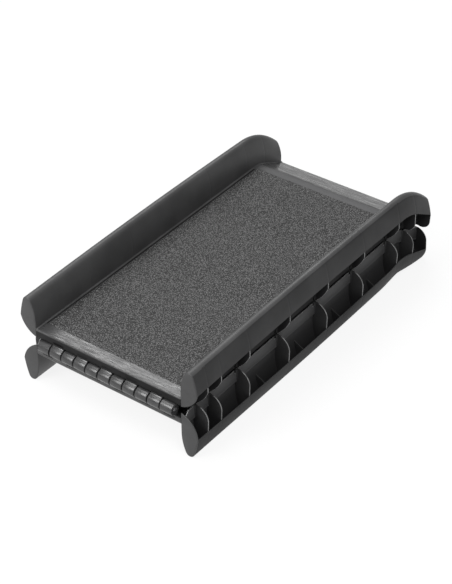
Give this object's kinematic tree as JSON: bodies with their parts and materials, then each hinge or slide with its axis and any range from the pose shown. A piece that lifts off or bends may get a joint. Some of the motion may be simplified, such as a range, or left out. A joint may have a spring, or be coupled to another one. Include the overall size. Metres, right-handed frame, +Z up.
{
  "type": "folding ramp",
  "caption": "Bi-fold moulded access ramp with raised side rails, gritty walking faces, a full-width knuckle hinge and a side latch, folded for carrying.",
  "frame": {"origin": "centre of the folded ramp's footprint, on the surface it stands on", "axes": "+X across the ramp towards its right rail, +Y from the hinge towards the free ends, +Z up"},
  "size_m": [0.4064, 0.8002, 0.1994],
  "materials": {
    "moulded_plastic": "satin moulded, black",
    "tread_grit": "coarse grit coating, dark grey",
    "rubber_foot": "matt",
    "hinge_steel": "plain drawn rod",
    "latch_steel": "zinc plated",
    "latch_plastic": "satin moulded, black"
  },
  "bodies": {
    "ground_half": {"ground_cross_ribs": "moulded_plastic", "ground_deck": "moulded_plastic", "ground_feet": "rubber_foot", "ground_hinge_strip": "moulded_plastic", "ground_left_end_cap": "moulded_plastic", "ground_left_gussets": "moulded_plastic", "ground_left_outer_ribs": "moulded_plastic", "ground_left_rail": "moulded_plastic", "ground_left_side_web": "moulded_plastic", "ground_lip": "moulded_plastic", "ground_right_end_cap": "moulded_plastic", "ground_right_gussets": "moulded_plastic", "ground_right_outer_ribs": "moulded_plastic", "ground_right_rail": "moulded_plastic", "ground_right_side_web": "moulded_plastic", "ground_stringers": "moulded_plastic", "ground_tread_sheet": "tread_grit", "hinge_pin": "hinge_steel", "latch_screw": "latch_steel"},
    "vehicle_half": {"vehicle_cross_ribs": "moulded_plastic", "vehicle_deck": "moulded_plastic", "vehicle_feet": "rubber_foot", "vehicle_hinge_strip": "moulded_plastic", "vehicle_left_end_cap": "moulded_plastic", "vehicle_left_gussets": "moulded_plastic", "vehicle_left_outer_ribs": "moulded_plastic", "vehicle_left_rail": "moulded_plastic", "vehicle_left_side_web": "moulded_plastic", "vehicle_lip": "moulded_plastic", "vehicle_right_end_cap": "moulded_plastic", "vehicle_right_gussets": "moulded_plastic", "vehicle_right_outer_ribs": "moulded_plastic", "vehicle_right_rail": "moulded_plastic", "vehicle_right_side_web": "moulded_plastic", "vehicle_stringers": "moulded_plastic", "vehicle_tread_sheet": "tread_grit", "latch_catch": "latch_steel"},
    "latch_lever": {"latch_lever": "latch_plastic"}
  },
  "joints": [
    {"name": "fold_hinge", "type": "hinge", "parent": "ground_half", "child": "vehicle_half", "pos_m": [0, -0.38806, 0.09514], "axis": [1, 0, 0], "range_deg": [0, 180]},
    {"name": "latch_pivot", "type": "hinge", "parent": "ground_half", "child": "latch_lever", "pos_m": [-0.1791, 0.21213, 0.0822], "axis": [1, 0, 0], "range_deg": [0, 82]}
  ]
}
